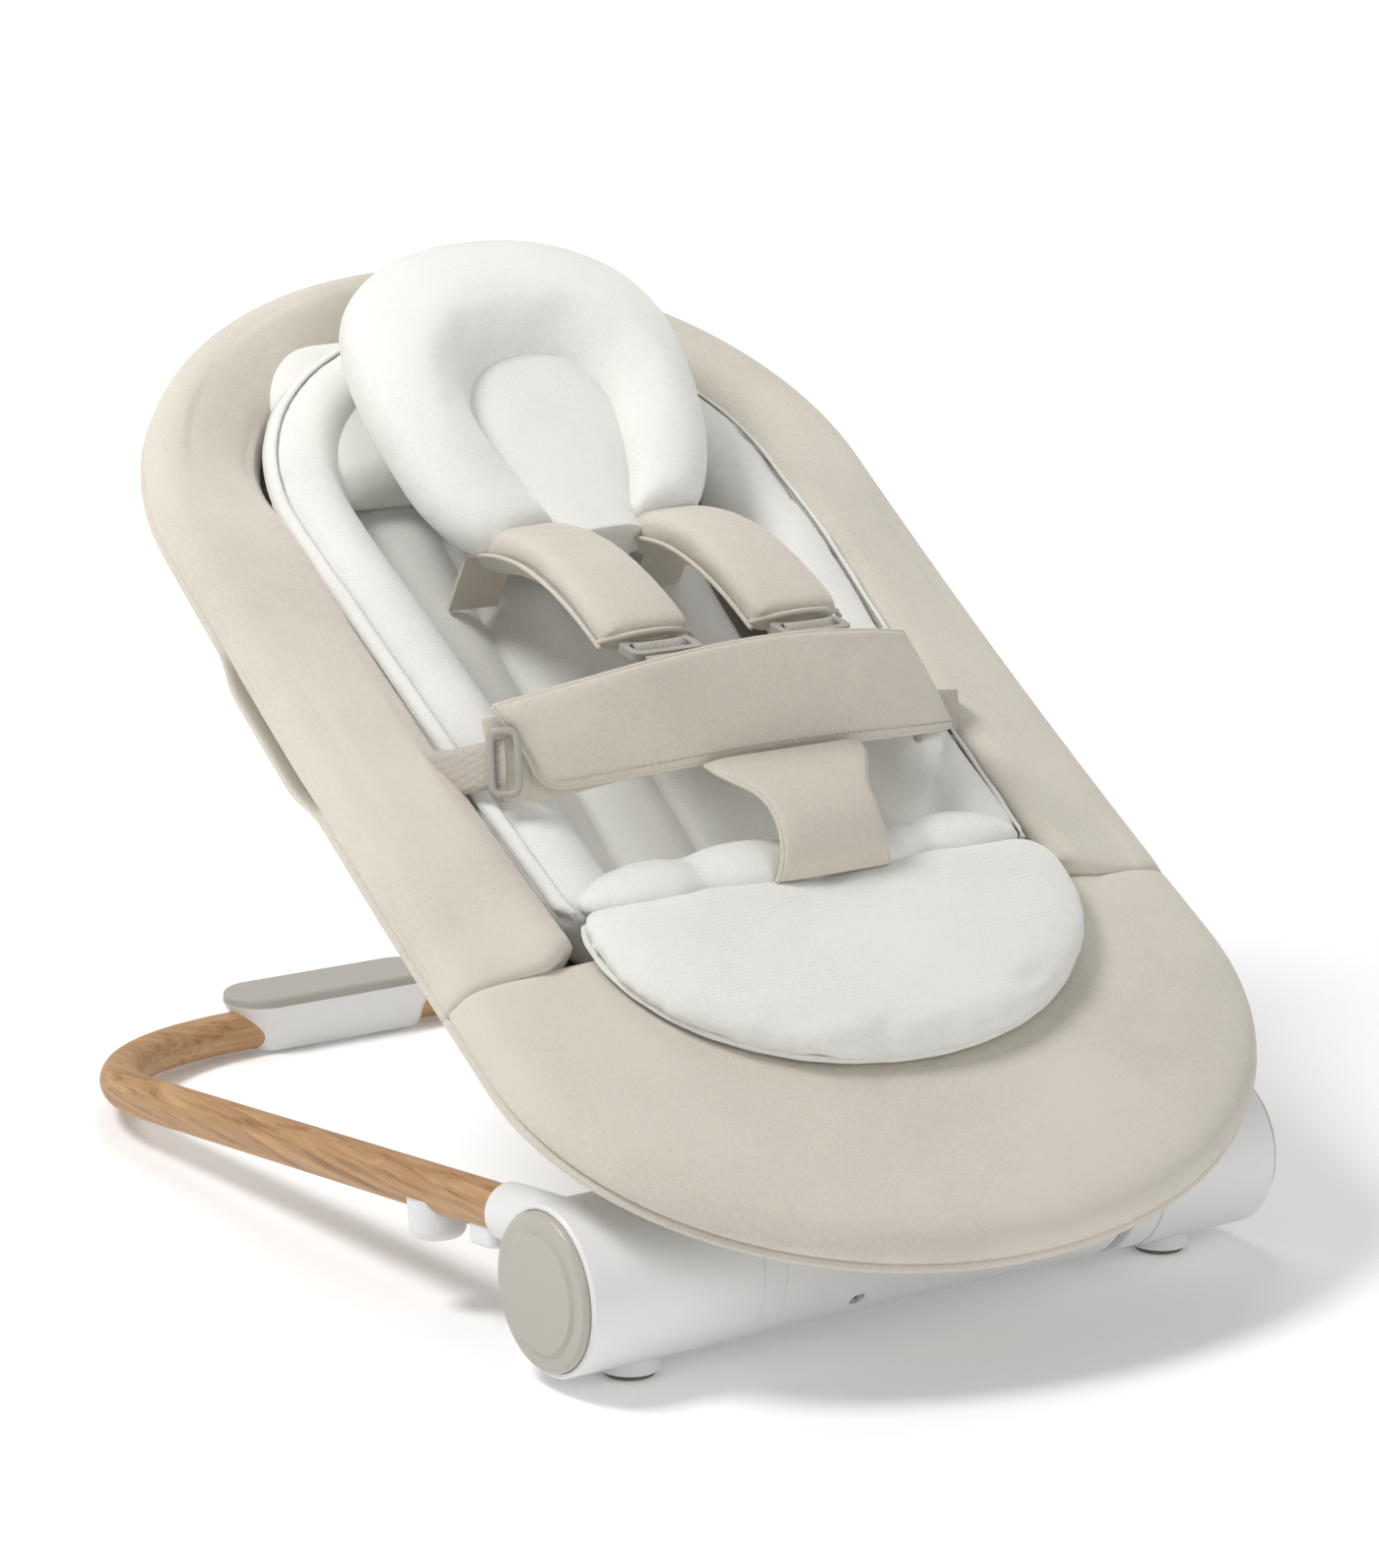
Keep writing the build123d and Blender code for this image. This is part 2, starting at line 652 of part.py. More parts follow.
for s, side in SIDE_NAMES:
    with BuildPart() as web:
        with BuildSketch(across.offset(-BELT_LOW + 1)):
            with BuildLine():
                Polyline((s * 162.9, -290), (s * 164.3, -290), (s * 158.6, -272), (s * 157.2, -272),
                         (s * 162.9, -290))
            make_face()
        extrude(amount=-25)
    save(web, "side_webbing_" + side)

    lean_x = math.hypot(5.7, 18)
    ring_plane = Plane(origin=across.offset(-BELT_LOW - 14).from_local_coords(
        Vector(s * 155.4, -264.5, 0)), x_dir=across.z_dir,
        z_dir=across.x_dir * (s * 18 / lean_x) + across.y_dir * (5.7 / lean_x))
    with BuildPart() as side_ring:
        with BuildSketch(ring_plane.offset(-1.2)):
            RectangleRounded(34, 14, 4)
            RectangleRounded(27, 7.4, 2, mode=Mode.SUBTRACT)
        extrude(amount=2.4)
    save(side_ring, "side_ring_" + side)
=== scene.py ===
import bpy
import bmesh
import json
import math
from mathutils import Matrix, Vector


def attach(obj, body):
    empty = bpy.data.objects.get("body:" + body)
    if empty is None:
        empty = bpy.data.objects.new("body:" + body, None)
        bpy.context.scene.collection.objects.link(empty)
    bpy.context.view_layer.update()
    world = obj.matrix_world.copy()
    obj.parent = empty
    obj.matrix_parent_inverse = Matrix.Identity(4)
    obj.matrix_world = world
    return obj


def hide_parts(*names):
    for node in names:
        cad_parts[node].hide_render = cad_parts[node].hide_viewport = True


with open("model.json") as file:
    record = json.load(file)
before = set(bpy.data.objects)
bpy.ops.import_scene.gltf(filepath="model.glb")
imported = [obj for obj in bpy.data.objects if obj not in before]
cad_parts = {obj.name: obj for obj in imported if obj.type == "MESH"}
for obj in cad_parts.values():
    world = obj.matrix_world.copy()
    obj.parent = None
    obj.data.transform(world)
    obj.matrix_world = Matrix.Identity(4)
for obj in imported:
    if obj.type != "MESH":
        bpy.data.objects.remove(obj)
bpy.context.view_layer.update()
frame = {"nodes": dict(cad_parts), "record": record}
nodes = frame["nodes"]

# ------------------------------------------------------------------ seat coordinates
# across, along from the foot end, and up from the curved middle surface, in millimetres
SEAT_FOOT = Vector((0.0, -0.36965, 0.0687))
ANGLE = math.radians(33.29)
ALONG = Vector((0.0, math.cos(ANGLE), math.sin(ANGLE)))
UP = Vector((0.0, -math.sin(ANGLE), math.cos(ANGLE)))
ACROSS = Vector((1.0, 0.0, 0.0))
CHORD = 740.0
SAG = 15.3
LENGTH = 752.0
HALF = 228.0
HEAD_DEPTH = 185.0
FOOT_DEPTH = 172.0
SEAM_U = 222.0
SEAM_LEAN = 14.0 / HALF
MM = 0.001


def sag(u):
    """Height of the curved middle surface over the straight chord."""
    return -SAG * (1 - (2 * u / CHORD - 1) ** 2)


def flat(x, u, h):
    """World point from across, along and height over the straight chord."""
    return SEAT_FOOT + Vector((x * MM, 0, 0)) + ALONG * (u * MM) + UP * (h * MM)


def seat(x, u, w):
    """World point from across, along and height over the curved middle surface."""
    return flat(x, u, sag(u) + w)


def smooth(t):
    t = max(0.0, min(1.0, t))
    return t * t * (3 - 2 * t)


def curve_at(points, t):
    """Smooth value on a list of tuples, t from 0 to 1."""
    n = len(points) - 1
    k = min(int(t * n), n - 1)
    f = t * n - k
    p0 = points[max(k - 1, 0)]
    p1 = points[k]
    p2 = points[k + 1]
    p3 = points[min(k + 2, n)]
    return tuple(0.5 * (2 * b + (c - a) * f + (2 * a - 5 * b + 4 * c - d) * f * f
                        + (3 * b - a - 3 * c + d) * f ** 3) for a, b, c, d in zip(p0, p1, p2, p3))


# ------------------------------------------------------------------ materials
def new_material(name):
    mat = bpy.data.materials.new(name)
    mat.use_nodes = True
    tree = mat.node_tree
    return mat, tree, tree.nodes["Principled BSDF"]


def add(tree, kind, **values):
    node = tree.nodes.new(kind)
    for key, value in values.items():
        if key in node.inputs:
            node.inputs[key].default_value = value
        else:
            setattr(node, key, value)
    return node


def fabric(name, colour, thread=0.0011, bump=0.25, sheen=0.35, rough=0.85, mottle=0.05, twill=False):
    """Woven or knitted cloth: crossing threads, soft mottling and sheen."""
    mat, tree, shader = new_material(name)
    link = tree.links.new
    coords = add(tree, "ShaderNodeTexCoord")
    scale = 2 * math.pi / thread / 20
    waves = []
    for axis in ("X", "DIAGONAL" if twill else "Z"):
        wave = add(tree, "ShaderNodeTexWave", bands_direction=axis)
        wave.inputs["Scale"].default_value = scale
        wave.inputs["Distortion"].default_value = 1.2
        wave.inputs["Detail"].default_value = 1.0
        wave.inputs["Detail Scale"].default_value = 2.0
        link(coords.outputs["Object"], wave.inputs["Vector"])
        waves.append(wave)
    weave = add(tree, "ShaderNodeMath", operation="MULTIPLY")
    link(waves[0].outputs["Fac"], weave.inputs[0])
    link(waves[1].outputs["Fac"], weave.inputs[1])
    fine = add(tree, "ShaderNodeTexNoise", Scale=620.0, Detail=3.0)
    link(coords.outputs["Object"], fine.inputs["Vector"])
    height = add(tree, "ShaderNodeMath", operation="MULTIPLY_ADD")
    height.inputs[1].default_value = 0.5
    link(fine.outputs["Fac"], height.inputs[0])
    link(weave.outputs[0], height.inputs[2])
    dent = add(tree, "ShaderNodeBump", Strength=bump, Distance=0.0004)
    link(height.outputs[0], dent.inputs["Height"])
    link(dent.outputs["Normal"], shader.inputs["Normal"])
    broad = add(tree, "ShaderNodeTexNoise", Scale=9.0, Detail=4.0, Roughness=0.6)
    link(coords.outputs["Object"], broad.inputs["Vector"])
    tone = add(tree, "ShaderNodeMath", operation="MULTIPLY_ADD")
    tone.inputs[1].default_value = 0.35
    speck = add(tree, "ShaderNodeMath", operation="MULTIPLY_ADD")
    speck.inputs[1].default_value = 0.7
    link(fine.outputs["Fac"], speck.inputs[0])
    link(broad.outputs["Fac"], speck.inputs[2])
    link(weave.outputs[0], tone.inputs[0])
    link(speck.outputs[0], tone.inputs[2])
    ramp = add(tree, "ShaderNodeValToRGB")
    low = [c * (1 - mottle) for c in colour]
    high = [min(1.0, c * (1 + mottle)) for c in colour]
    ramp.color_ramp.elements[0].position = 0.72
    ramp.color_ramp.elements[0].color = (*low, 1)
    ramp.color_ramp.elements[1].position = 1.0
    ramp.color_ramp.elements[1].color = (*high, 1)
    link(tone.outputs[0], ramp.inputs["Fac"])
    link(ramp.outputs["Color"], shader.inputs["Base Color"])
    shader.inputs["Roughness"].default_value = rough
    shader.inputs["Sheen Weight"].default_value = sheen
    shader.inputs["Sheen Roughness"].default_value = 0.4
    return mat


def plastic(name, colour, rough=0.42, grain=0.05, scale=1400.0):
    """Moulded plastic with a faint spark texture and uneven gloss."""
    mat, tree, shader = new_material(name)
    link = tree.links.new
    coords = add(tree, "ShaderNodeTexCoord")
    fine = add(tree, "ShaderNodeTexNoise", Scale=scale, Detail=2.0)
    link(coords.outputs["Object"], fine.inputs["Vector"])
    dent = add(tree, "ShaderNodeBump", Strength=grain, Distance=0.0002)
    link(fine.outputs["Fac"], dent.inputs["Height"])
    link(dent.outputs["Normal"], shader.inputs["Normal"])
    broad = add(tree, "ShaderNodeTexNoise", Scale=14.0, Detail=3.0)
    link(coords.outputs["Object"], broad.inputs["Vector"])
    gloss = add(tree, "ShaderNodeMapRange")
    gloss.inputs["To Min"].default_value = rough - 0.06
    gloss.inputs["To Max"].default_value = rough + 0.08
    link(broad.outputs["Fac"], gloss.inputs["Value"])
    link(gloss.outputs["Result"], shader.inputs["Roughness"])
    ramp = add(tree, "ShaderNodeValToRGB")
    ramp.color_ramp.elements[0].color = (*[c * 0.97 for c in colour], 1)
    ramp.color_ramp.elements[1].color = (*[min(1.0, c * 1.02) for c in colour], 1)
    link(broad.outputs["Fac"], ramp.inputs["Fac"])
    link(ramp.outputs["Color"], shader.inputs["Base Color"])
    return mat


def steel(name):
    mat, tree, shader = new_material(name)
    link = tree.links.new
    coords = add(tree, "ShaderNodeTexCoord")
    brush = add(tree, "ShaderNodeTexNoise", Scale=350.0, Detail=4.0)
    link(coords.outputs["Object"], brush.inputs["Vector"])
    gloss = add(tree, "ShaderNodeMapRange")
    gloss.inputs["To Min"].default_value = 0.25
    gloss.inputs["To Max"].default_value = 0.45
    link(brush.outputs["Fac"], gloss.inputs["Value"])
    link(gloss.outputs["Result"], shader.inputs["Roughness"])
    shader.inputs["Base Color"].default_value = (0.55, 0.55, 0.56, 1)
    shader.inputs["Metallic"].default_value = 1.0
    return mat


def oak(name):
    """Oak grain that runs along the side tubes and turns with the rear bend."""
    mat, tree, shader = new_material(name)
    link = tree.links.new
    coords = add(tree, "ShaderNodeTexCoord")
    split = add(tree, "ShaderNodeSeparateXYZ")
    link(coords.outputs["Object"], split.inputs[0])
    turn = add(tree, "ShaderNodeMapRange")
    turn.inputs["From Min"].default_value = 0.24
    turn.inputs["From Max"].default_value = 0.335
    link(split.outputs["Y"], turn.inputs["Value"])
    looks = []
    for stretch in ((230.0, 9.0, 230.0), (9.0, 230.0, 230.0)):
        place = add(tree, "ShaderNodeMapping")
        place.inputs["Scale"].default_value = stretch
        link(coords.outputs["Object"], place.inputs["Vector"])
        grain = add(tree, "ShaderNodeTexNoise", Scale=1.0, Detail=6.0, Roughness=0.65)
        grain.inputs["Distortion"].default_value = 0.6
        link(place.outputs["Vector"], grain.inputs["Vector"])
        looks.append(grain)
    mix = add(tree, "ShaderNodeMix", data_type="FLOAT")
    link(turn.outputs["Result"], mix.inputs["Factor"])
    link(looks[0].outputs["Fac"], mix.inputs["A"])
    link(looks[1].outputs["Fac"], mix.inputs["B"])
    ramp = add(tree, "ShaderNodeValToRGB")
    ramp.color_ramp.elements[0].position = 0.30
    ramp.color_ramp.elements[0].color = (0.25, 0.12, 0.045, 1)
    ramp.color_ramp.elements[1].position = 0.66
    ramp.color_ramp.elements[1].color = (0.56, 0.345, 0.175, 1)
    middle = ramp.color_ramp.elements.new(0.47)
    middle.color = (0.44, 0.25, 0.115, 1)
    link(mix.outputs["Result"], ramp.inputs["Fac"])
    link(ramp.outputs["Color"], shader.inputs["Base Color"])
    dent = add(tree, "ShaderNodeBump", Strength=0.25, Distance=0.0006)
    link(mix.outputs["Result"], dent.inputs["Height"])
    link(dent.outputs["Normal"], shader.inputs["Normal"])
    shader.inputs["Roughness"].default_value = 0.5
    return mat


BEIGE = (0.60, 0.555, 0.48)
OFF_WHITE = (0.745, 0.74, 0.70)
cover_cloth = fabric("cover cloth", BEIGE, thread=0.0009, bump=0.25, mottle=0.07)
harness_cloth = fabric("harness cloth", (0.57, 0.525, 0.45), thread=0.0009, bump=0.28, mottle=0.07)
jersey = fabric("liner jersey", OFF_WHITE, thread=0.0013, bump=0.28, mottle=0.045, sheen=0.4)
sling_cloth = fabric("sling cloth", (0.50, 0.46, 0.40), thread=0.0014, bump=0.35)
web_cloth = fabric("webbing", (0.46, 0.42, 0.37), thread=0.0022, bump=0.7, mottle=0.08, twill=True)
thread_cloth = fabric("sewing thread", (0.50, 0.46, 0.40), thread=0.0006, bump=0.5)
white_plastic = plastic("white plastic", (0.80, 0.80, 0.79))
cap_plastic = plastic("cap plastic", (0.47, 0.44, 0.385), rough=0.3, grain=0.03)
ring_plastic = plastic("ring plastic", (0.37, 0.345, 0.31), rough=0.35)
rubber = plastic("foot rubber", (0.16, 0.15, 0.11), rough=0.7, grain=0.3)
soft_pad = plastic("soft touch pad", (0.44, 0.42, 0.38), rough=0.75, grain=0.35, scale=900.0)
bare_steel = steel("bare steel")
wood = oak("oak tube")

FINISH = {"white_plastic": white_plastic, "cap_plastic": cap_plastic, "rubber": rubber, "wood": wood,
          "pad_fabric": soft_pad, "steel": bare_steel, "cover_fabric": cover_cloth,
          "sling_fabric": sling_cloth, "liner_fabric": jersey, "harness_fabric": harness_cloth,
          "webbing": web_cloth, "ring_plastic": ring_plastic}
for sub in frame["record"]["subparts"]:
    obj = nodes[sub["node"]]
    mat = FINISH[sub["material_slot"]]
    if not obj.data.materials:
        obj.data.materials.append(mat)
    for k in range(len(obj.data.materials)):
        obj.data.materials[k] = mat


# ------------------------------------------------------------------ building pieces
def finish_mesh(name, bm, mat):
    bmesh.ops.remove_doubles(bm, verts=bm.verts, dist=1e-6)
    bmesh.ops.recalc_face_normals(bm, faces=bm.faces)
    mesh = bpy.data.meshes.new(name)
    bm.to_mesh(mesh)
    bm.free()
    for poly in mesh.polygons:
        poly.use_smooth = True
    mesh.materials.append(mat)
    obj = bpy.data.objects.new(name, mesh)
    bpy.context.scene.collection.objects.link(obj)
    return obj


def mapped(na, nb, place, close=True):
    """A grid laid on place(a, b), both from 0 to 1; close fills its open ends."""
    bm = bmesh.new()
    bmesh.ops.create_grid(bm, x_segments=na, y_segments=nb, size=0.5)
    for v in bm.verts:
        v.co = place(v.co.x + 0.5, v.co.y + 0.5)
    bmesh.ops.remove_doubles(bm, verts=bm.verts, dist=2e-6)
    if close:
        bmesh.ops.holes_fill(bm, edges=bm.edges, sides=0)
        big = [f for f in bm.faces if len(f.verts) > 4]
        if big:
            bmesh.ops.triangulate(bm, faces=big)
    return bm


def subdivide(obj):
    mod = obj.modifiers.new("smooth", "SUBSURF")
    mod.levels = 1
    mod.render_levels = 1


def apply_modifiers(obj):
    graph = bpy.context.evaluated_depsgraph_get()
    mesh = bpy.data.meshes.new_from_object(obj.evaluated_get(graph))
    obj.modifiers.clear()
    obj.data = mesh


def remesh(obj, voxel):
    mod = obj.modifiers.new("remesh", "REMESH")
    mod.mode = "VOXEL"
    mod.voxel_size = voxel
    apply_modifiers(obj)
    relax(obj, 3)


def relax(obj, times):
    bm = bmesh.new()
    bm.from_mesh(obj.data)
    for _ in range(times):
        bmesh.ops.smooth_vert(bm, verts=bm.verts, factor=0.5, use_axis_x=True, use_axis_y=True,
                              use_axis_z=True)
    bm.to_mesh(obj.data)
    bm.free()
    for poly in obj.data.polygons:
        poly.use_smooth = True


CLOTH_STEPS = 20


def inflate(obj, pressure=4.0, cap=0.008, voxel=0.005):
    """Fill a padded piece: cloth under pressure, no point moving more than cap."""
    remesh(obj, voxel)
    scene = bpy.context.scene
    before = [v.co.copy() for v in obj.data.vertices]
    mod = obj.modifiers.new("fill", "CLOTH")
    mod.settings.use_pressure = True
    mod.settings.uniform_pressure_force = pressure
    mod.settings.effector_weights.gravity = 0.0
    mod.settings.quality = 4
    mod.settings.tension_stiffness = 20
    mod.settings.compression_stiffness = 20
    mod.settings.bending_stiffness = 0.4
    mod.point_cache.frame_start = 1
    mod.point_cache.frame_end = CLOTH_STEPS
    for step in range(1, CLOTH_STEPS + 1):
        scene.frame_set(step)
    apply_modifiers(obj)
    scene.frame_set(1)
    for v, old in zip(obj.data.vertices, before):
        move = v.co - old
        if move.length > cap:
            v.co = old + move.normalized() * cap
    relax(obj, 2)


def groove(obj, distance, width, depth):
    """Press sewn lines into a surface; distance gives millimetres to the nearest line."""
    mesh = obj.data
    moves = []
    for v in mesh.vertices:
        d = distance(v.co)
        moves.append(v.normal * (-depth * MM * math.exp(-(d / width) ** 2)))
    for v, m in zip(mesh.vertices, moves):
        v.co = v.co + m


def local(co):
    """Seat coordinates of a world point, in millimetres."""
    p = co - SEAT_FOOT
    u = p.dot(ALONG) / MM
    return p.x / MM, u, p.dot(UP) / MM - sag(u)


def tube(name, points, radius, mat, cyclic=False):
    """Piping or cord edge along points."""
    data = bpy.data.curves.new(name, "CURVE")
    data.dimensions = "3D"
    data.bevel_depth = radius * MM
    data.bevel_resolution = 3
    data.use_fill_caps = True
    spline = data.splines.new("POLY")
    spline.points.add(len(points) - 1)
    for p, co in zip(spline.points, points):
        p.co = (*co, 1)
    spline.use_cyclic_u = cyclic
    temp = bpy.data.objects.new(name + "_path", data)
    bpy.context.scene.collection.objects.link(temp)
    graph = bpy.context.evaluated_depsgraph_get()
    mesh = bpy.data.meshes.new_from_object(temp.evaluated_get(graph))
    bpy.data.objects.remove(temp)
    bm = bmesh.new()
    bm.from_mesh(mesh)
    return finish_mesh(name, bm, mat)


def stitches(name, points, normal, mat, length=2.6, gap=1.5, lift=0.15):
    """A row of short raised threads along points."""
    bm = bmesh.new()
    travelled = 0.0
    step = (length + gap) * MM
    for p, q in zip(points, points[1:]):
        span = (q - p).length
        while travelled < span:
            at = p.lerp(q, travelled / span)
            along = (q - p).normalized()
            side = along.cross(normal(at)).normalized()
            top = side.cross(along)
            box = bmesh.ops.create_cube(bm, size=1.0)["verts"]
            for v in box:
                c = v.co.copy()
                pinch = 0.6 if abs(c.x) > 0.4 else 1.0
                v.co = (at + along * (c.x * length * MM) + side * (c.y * 0.7 * MM * pinch)
                        + top * ((c.z * 0.6 * pinch + lift) * MM))
            travelled += step
        travelled -= span
    return finish_mesh(name, bm, mat)


def on_seat(obj, *replaced, fill=None):
    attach(obj, "seat")
    if replaced:
        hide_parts(*replaced)
    return obj


# ------------------------------------------------------------------ cover border
COVER_END_U = SEAM_U - 1.5
INNER_HEAD = 50.0
INNER_SIDE = 64.0


def rim(s, cut):
    """Point on the cover outline moved in by cut; s runs -1 (left seam) to 1 (right seam)."""
    half = HALF - cut
    top = LENGTH - cut * INNER_HEAD / INNER_SIDE
    depth = HEAD_DEPTH - cut * 0.7
    base = top - depth
    t = abs(s)
    if t < 0.5:
        phi = t * math.pi
        return math.copysign(half * math.sin(phi), s), base + depth * math.cos(phi)
    low = COVER_END_U + cut * SEAM_LEAN
    return math.copysign(half, s), base + (low - base) * (t - 0.5) * 2


# sections of the cover: inwards from its outline, and up; at the head, at the sides, at the hand opening
BORDER = [(62, -26), (66, -16), (67, -8), (62, -1), (51, 5), (38, 9.5), (25, 12.4), (14, 12.4), (6.5, 9.5),
          (1.8, 4.2), (0.2, -1.5), (0.6, -5.4), (2.2, -6.6), (0.8, -7.6), (-0.6, -9.6), (0.4, -12.2),
          (4, -13.4), (14, -12.6), (32, -12.6), (50, -15), (58, -21), (62, -26)]
SIDE = [(62, -26), (68, -12), (70.5, 2), (69, 10.5), (60, 15), (44, 15.5), (27, 14.4), (14, 12.6),
        (6.5, 9.5)] + BORDER[9:]
OPEN = SIDE[:11] + [(0.4, -5.6), (14, -6.5), (13, -16), (-2.5, -11.5), (-4.5, -14), (2, -20), (16, -19),
                    (32, -14)] + BORDER[19:]


def pocket(u):
    """How far the hand opening in the side of the cover gapes at u, from 0 to 1."""
    return smooth((u - 364) / 34.0) * smooth((496 - u) / 34.0)


def between(p, q, k):
    return tuple(x + (y - x) * k for x, y in zip(p, q))


def border_place(a, b):
    s = 2 * a - 1
    low_u = rim(s, 0)[1]
    gape = pocket(low_u) if abs(s) > 0.5 else 0.0
    inner = smooth((abs(s) - 0.36) / 0.2)
    c, w = between(curve_at(BORDER, b), curve_at(SIDE, b), inner)
    if gape:
        c, w = between((c, w), curve_at(OPEN, b), gape)
    if c > 30:
        low = max(0.0, min(1.0, (500 - low_u) / 270.0))
        c += (c - 30) / 33.0 * 3.5 * low * inner
        if w > -6:
            w += 7 * low ** 2 * smooth((c - 30) / 36.0)
    x, u = rim(s, c)
    slack = 0.9 * math.sin(9.0 * s + 2.0) + 0.6 * math.sin(23.0 * s)
    if 20 < c < 60 and w > 0:
        w += slack
    end = min(1.0, (1 - abs(s)) / 0.026)
    corner = smooth((c - 52) / 22.0) * (1 - end) ** 2
    if w > -4:
        w = -4 + (w + 4) * math.sqrt(max(0.0, 1 - (1 - end) ** 2 * 0.28))
    return seat(x, u + 10 * corner, w)


border = finish_mesh("cover_side", mapped(220, 100, border_place), cover_cloth)
on_seat(border, "cover_border", fill=0.8)


# ------------------------------------------------------------------ foot panel
def foot_rim(t):
    """Edge of the foot panel, t from 0 (left seam) to 1 (right seam)."""
    s = 2 * t - 1
    if abs(s) > 0.86:
        k = (abs(s) - 0.86) / 0.14
        return math.copysign(HALF, s), FOOT_DEPTH + (SEAM_U - FOOT_DEPTH) * k
    phi = s / 0.86 * math.pi / 2
    return HALF * math.sin(phi), FOOT_DEPTH - FOOT_DEPTH * math.cos(phi)


FOOT_MID_U = SEAM_U + 14.0
# section of the foot cover: share of the way out from its middle, and up
FOOT_EDGE = [(0.0, 10.5), (0.35, 11.5), (0.66, 12.8), (0.8, 13.2), (0.88, 13.0), (0.935, 11.8), (0.968, 9.0),
             (0.988, 4.2), (0.9985, -1.5), (0.997, -5.4), (0.990, -6.6), (0.9965, -7.6), (1.003, -9.6),
             (0.998, -12.2), (0.982, -13.4), (0.92, -12.8), (0.6, -12.4), (0.3, -12.2), (0.0, -12.2)]


def foot_place(a, b):
    r, w = curve_at(FOOT_EDGE, b)
    x, u = foot_rim(a)
    r = max(r, 0.0)
    px = x * r
    pu = FOOT_MID_U + (u - FOOT_MID_U) * r
    if w > 0:
        w += 0.8 * math.sin(px / 47.0 + 1.0) * math.sin(pu / 38.0)
        near = (FOOT_MID_U - abs(px) * SEAM_LEAN - pu) / 5.0
        w = -3 + (w + 3) * math.sqrt(max(0.0, 1 - (1 - min(1.0, max(0.0, near))) ** 2 * 0.26))
    return seat(px, pu, w)


foot_panel = finish_mesh("cover_foot", mapped(160, 72, foot_place), cover_cloth)
on_seat(foot_panel, "foot_panel", fill=0.7)

# ------------------------------------------------------------------ sling under the child
# middle line of the sling: along, and depth
SLING = [(698, -10), (610, -26), (500, -40), (400, -50), (320, -57), (286, -58), (262, -50), (244, -32),
         (234, -10)]


def sling_depth(u):
    """Depth of the middle of the sling at u."""
    for (u1, w1), (u2, w2) in zip(SLING, SLING[1:]):
        if u2 <= u <= u1:
            return w1 + (w2 - w1) * (u1 - u) / (u1 - u2)
    return -10.0


def sling_place(a, b):
    u, w = curve_at(SLING, a)
    t = 2 * b - 1
    p = abs(t) ** 7
    half = 165 * math.sqrt(max(0.0, 1 - max(0.0, (u - 585) / 132.0) ** 2.2))
    return seat(half * t, u, (min(w, -12.0) - 6.0) * (1 - p) - 17.0 * p)


bm = mapped(80, 60, sling_place, close=False)
bmesh.ops.solidify(bm, geom=bm.faces[:], thickness=0.0022)
sling = finish_mesh("sling_back", bm, sling_cloth)
on_seat(sling, "sling", fill=0.2)

# ------------------------------------------------------------------ liner
CHANNELS = (-104, -52, 0, 52, 104)


def channel_puff(x, height):
    for left, right in zip(CHANNELS, CHANNELS[1:]):
        if left <= x <= right:
            t = (2 * x - left - right) / (right - left)
            return height * (1 - abs(t) ** 2.6)
    return 0.0


def liner_place(a, b):
    u, w = curve_at(SLING[1:7], a)
    if b < 0.5:
        x = -104 + 208 * (b / 0.5)
        w += 12 + channel_puff(x, 7)
        w += 0.8 * math.sin(u / 13.0 + x / 31.0)
    else:
        x = 104 - 208 * ((b - 0.5) / 0.5)
        w += 2
    return seat(x, u, w)


liner = finish_mesh("liner_seat_back", mapped(90, 120, liner_place), jersey)
on_seat(liner, "liner_back", fill=0.6)

ROLL_HALF = 166.0
ROLL_HEAD = 706.0
ROLL_DEPTH = 145.0
ROLL_END = 245.0
# section of the side roll: inwards from its outer line, and up
ROLL = [(3, 8), (8, 14), (18, 17.5), (31, 17.5), (43, 11), (51, 0), (54, -12), (52, -24), (44, -32),
        (32, -33), (20, -24), (9, -8), (3, 3), (3, 8)]


def roll_line(s, cut):
    half = ROLL_HALF - cut
    depth = ROLL_DEPTH - cut
    base = ROLL_HEAD - ROLL_DEPTH
    t = abs(s)
    if t < 0.42:
        phi = t / 0.42 * math.pi / 2
        return math.copysign(half * math.sin(phi), s), base + depth * math.cos(phi)
    narrow = 14.0 * max(0.0, t - 0.5) / 0.5
    return math.copysign(half - narrow, s), base + (ROLL_END - base) * (t - 0.42) / 0.58


def roll_place(a, b):
    s = 2 * a - 1
    c, w = curve_at(ROLL, b)
    end = math.sqrt(max(0.0, 1 - (1 - min(1.0, (1 - abs(s)) / 0.045)) ** 2))
    c = 28 + (c - 28) * (0.25 + 0.75 * end)
    w = -4 + (w + 4) * (0.3 + 0.7 * end)
    head = smooth((0.5 - abs(s)) / 0.14)
    if w < 0:
        w *= 1 - 0.8 * head
    if w > -10:
        w += 6.5 * smooth((abs(s) - 0.4) / 0.16) * (w + 10) / 27.0
    x, u = roll_line(s, c)
    w = max(w, 0.66 * sling_depth(u) + 1.0)
    return seat(x, u, w)


roll = finish_mesh("liner_side_roll", mapped(220, 52, roll_place), jersey)
inflate(roll, pressure=4.0, cap=0.006, voxel=0.005)
groove(roll, lambda co: abs(math.sin(local(co)[1] / 17.0)) * 17.0 if local(co)[2] < 16 and
       abs(local(co)[0]) > 140 else 99, 3.5, 1.3)
subdivide(roll)
on_seat(roll, "liner_bolster_left", "liner_bolster_right", "liner_head", fill=0.8)


